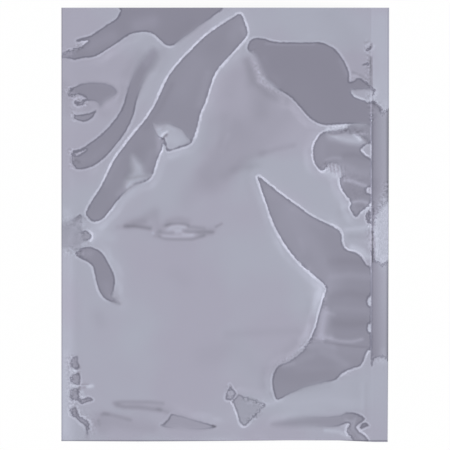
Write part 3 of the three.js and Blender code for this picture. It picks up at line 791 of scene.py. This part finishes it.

# From the fold (0) to the mouth (1): how light each weld's painted reflection is, how bright the painted
# highlight line by the right one is and how frosted that one is. Then, in metres from a weld's inner line,
# where things begin and end.
weld = {
    "left": [(0.0, 1.12), (0.25, 1.12), (0.44, 1.1), (0.5, 1.0), (0.6, 1.03), (1.0, 1.0)],
    "right": [
        (0.0, 1.0), (0.19, 1.03), (0.2, 1.04), (0.41, 1.22), (0.53, 1.26), (0.58, 1.04), (0.74, 1.04),
        (0.76, 1.1), (1.0, 1.07),
    ],
    "line": [
        (0.2, 0.0), (0.22, 0.4), (0.33, 0.5), (0.36, 0.8), (0.5, 0.7), (0.56, 1.0), (0.75, 1.0), (0.8, 0.6),
        (0.92, 0.0),
    ],
    "frost": [(0.38, 0.0), (0.41, 0.8), (0.5, 0.8), (0.56, 1.0), (0.58, 0.0)],
    "frostDepth": 0.9,
    "leftFade": (-0.0015, 0.006),
    "rightFade": (-0.0002, 0.0002),
    "teethFade": (0.0008, 0.0025),
    "dentFade": (0.001, 0.0095),
    "dentLoss": 0.64,  # how much paler the dents' painted dark reflections are at the right edge
    "brightLine": (-0.00015, 0.0011),  # place and width
    "brightLight": (0.3, 0.4),  # even, and flecked
    "darkLine": (0.0011, 0.0009),
    "darkDepth": 0.14,
}


# Metallised film: grey mirror-like film with dents, lips at their edges and fine crinkles; reflections
# painted in
def filmMaterial():
    material = bpy.data.materials.new("film")
    read = newTree(material)
    place = read.node("ShaderNodeTexCoord", output="Object")
    x = read.node("ShaderNodeSeparateXYZ", [place], output="X")
    y = read.node("ShaderNodeSeparateXYZ", [place], output="Y")
    edge, crease, tone, shade, tint, grit = (
        read.node("ShaderNodeAttribute", attribute_name=name, output="Fac")
        for name in ("edge", "crease", "tone", "shade", "tint", "grit")
    )
    noise = {name: place.noise(*look) for name, look in noises.items() if name != "teeth"}
    teeth = place.times(film["toothStretch"]).noise(*noises["teeth"]) - 0.5
    crumple = noise["crumple"].eased(*film["crumpleRange"]) - 0.5
    swell = noise["swell"].eased(*film["crumpleRange"])

    along = y / bag["length"] + 0.5
    half = bag["width"] / 2
    fromLeft = x - (bag["leftWeld"] - half)
    fromRight = x - (half - bag["rightWeld"])
    onLeft = 1 - fromLeft.eased(*weld["leftFade"])
    onRight = fromRight.eased(*weld["rightFade"])

    # The dents' edges are roughened, with painted dark shade lines inside them and lips with painted
    # highlights outside
    edge = edge + (noise["wobble"] - 0.5) * film["wobble"] + (noise["serration"] - 0.5) * film["serration"]
    edge = edge + teeth * fromRight.eased(*weld["teethFade"]) * film["teeth"]
    edge = edge + crumple * grit.adding(*film["crumple"])
    reach = (1 - crease).held().adding(*film["edgeReach"])
    inside = ((edge / reach + 1) / 2).held().eased(0, 1)
    lip = (crease - 1).held()
    creaseShade = edge.bell(film["linePlace"], film["lineWidth"])
    creaseShade = creaseShade * crease.held() * (1 - lip * film["lineLoss"])
    core = edge.bell(-film["lipPlace"], film["lipWidth"] * swell.adding(*film["lipSwell"]))
    core = core * noise["flecks"].eased(*film["fleckRange"]).adding(*film["lipFlecks"])
    halo = (edge.least(0) / film["glowReach"]).exp() * (1 - inside)
    glow = lip.adding(*film["lipLight"]) * core * crease.eased(*film["lipStart"])
    glow = glow + lip * halo * film["glow"]

    # Colour, with the dents' dark reflections, the creases' dark shade lines and the lips' highlights painted
    # in
    blueness = noise["clouds"].eased(*film["cloudRange"]) + shade * film["blueing"] + tint
    colour = blueness.held().mixed(film["mauve"], film["blue"])
    fade = onRight * fromRight.eased(*weld["dentFade"]) * weld["dentLoss"]
    # paints the dents' dark reflections into the colour, paler toward the right edge
    colour = (inside * tone * (1 - fade)).mixed(colour, film["dent"])
    # paints the lips' highlight and the glow round them
    colour = glow.held().mixed(colour, film["lip"])
    # paints the dark shade line inside the creases
    colour = (creaseShade * film["creaseShade"]).mixed(colour, film["line"])

    # How light the film is: painted reflections and shade, and darker rims, scale its colour
    level = 1 + shade
    # painted reflections of the welds, lighter or darker along them
    level = level * (1 + onLeft * (along.ramped(weld["left"]) - 1))
    level = level * (1 + onRight * (along.ramped(weld["right"]) - 1))
    weldLine = along.ramped(weld["line"])
    # a painted highlight line along the right weld's inner edge, and a painted shade line beside it
    brightLine = fromRight.bell(*weld["brightLine"]) * noise["flecks"].adding(*weld["brightLight"])
    level = level + brightLine * weldLine
    level = level - fromRight.bell(*weld["darkLine"]) * weldLine * weld["darkDepth"]
    level = level + teeth * onRight * (1 - inside) * along.ramped(weld["frost"]) * weld["frostDepth"]
    # painted light and dark speckle of the crumpled film
    level = level + crumple * grit * film["crumpleShade"]
    level = level - x.rim(half, *film["rightRim"]) - x.rim(half, *film["rightDentRim"]) * inside
    level = level - x.rim(film["rimPlace"] - half, *film["leftRim"])
    # painted shade along the fold, where the film bends under
    level = level - y.rim(film["rimPlace"] - bag["length"] / 2, *film["foldRim"])
    colour = colour.times(read.node("ShaderNodeCombineXYZ", [level, level, level]))

    raised = {"Strength": 1.0, "Distance": 1.0, "Height": lip * core * film["lipRise"]}
    lips = read.node("ShaderNodeBump", raised, "Normal")
    rippled = {"Strength": 1.0, "Distance": film["ripple"], "Height": noise["waves"], "Normal": lips}
    inputs = {
        "Base Color": colour,
        "Metallic": film["metallic"],
        "Roughness": film["roughness"] + noise["grain"] * film["grain"],
        "Normal": read.node("ShaderNodeBump", rippled, "Normal"),
    }
    surface = read.node("ShaderNodeBsdfPrincipled", inputs, "BSDF")
    read.node("ShaderNodeOutputMaterial", {"Surface": surface})
    return material


sheet.data.materials.append(filmMaterial())
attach(sheet, "root")
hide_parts("shielding_bag")
print("film ready")

table = {"side": 8.0, "drop": 0.0002, "colour": (0.86, 0.86, 0.86, 1), "shadow": 0.13}
white = (1, 1, 1, 1)


# Pale table: white to the camera and in the film, with a share of plain matt surface for the bag's shadow
def makeTable():
    bpy.ops.object.select_all(action="DESELECT")
    bpy.ops.mesh.primitive_plane_add(size=table["side"], location=(0, 0, -table["drop"]))
    floor = bpy.context.object
    floor.name = "floor"
    pale = bpy.data.materials.new("pale_table")
    read = newTree(pale)
    matt = read.node("ShaderNodeBsdfDiffuse", {"Color": table["colour"]}, "BSDF")
    bright = read.node("ShaderNodeEmission", {"Color": white, "Strength": 1.0}, "Emission")
    rays = ("Is Camera Ray", "Is Glossy Ray", "Is Transmission Ray")
    camera, glossy, through = (read.node("ShaderNodeLightPath", output=ray) for ray in rays)
    seen = (camera + glossy + through).held() * (1 - table["shadow"])
    surface = read.node("ShaderNodeMixShader", {"Fac": seen, 1: matt, 2: bright}, "Shader")
    read.node("ShaderNodeOutputMaterial", {"Surface": surface})
    floor.data.materials.append(pale)


makeTable()

# How bright the studio is, from the horizon (0) to straight overhead (1)
studio = {
    "stops": [(0.0, 0.4), (0.3, 0.42), (0.52, 0.66), (0.72, 0.68), (0.9, 0.5), (1.0, 0.5)],
    "scale": 2.0,
}


def makeStudio():
    world = bpy.data.worlds.new("studio")
    bpy.context.scene.world = world
    read = newTree(world)
    direction = read.node("ShaderNodeTexCoord", output="Generated")
    up = read.node("ShaderNodeSeparateXYZ", [direction], output="Z")
    greys = [(place, (grey, grey, grey, 1)) for place, grey in studio["stops"]]
    sky = read.node("ShaderNodeValToRGB", {"Fac": up.held()}, "Color", stops=greys)
    camera = read.node("ShaderNodeLightPath", output="Is Camera Ray")
    light = read.node("ShaderNodeBackground", {"Color": sky, "Strength": studio["scale"]}, "Background")
    backdrop = read.node("ShaderNodeBackground", {"Color": white, "Strength": 1.0}, "Background")
    surface = read.node("ShaderNodeMixShader", {"Fac": camera, 1: light, 2: backdrop}, "Shader")
    read.node("ShaderNodeOutputWorld", {"Surface": surface})


makeStudio()
print("studio ready")


def makeCamera():
    span = photo["size"] * photo["pixel"]
    bpy.ops.object.camera_add(location=(*pictureMiddle, lens["distance"]), rotation=(0, 0, 0))
    camera = bpy.context.object
    camera.data.sensor_width = lens["sensor"] * millimetres
    camera.data.lens = camera.data.sensor_width * lens["distance"] / span
    camera.data.clip_end = lens["farClip"]
    bpy.context.scene.camera = camera


makeCamera()
bpy.context.scene.view_settings.view_transform = "Standard"
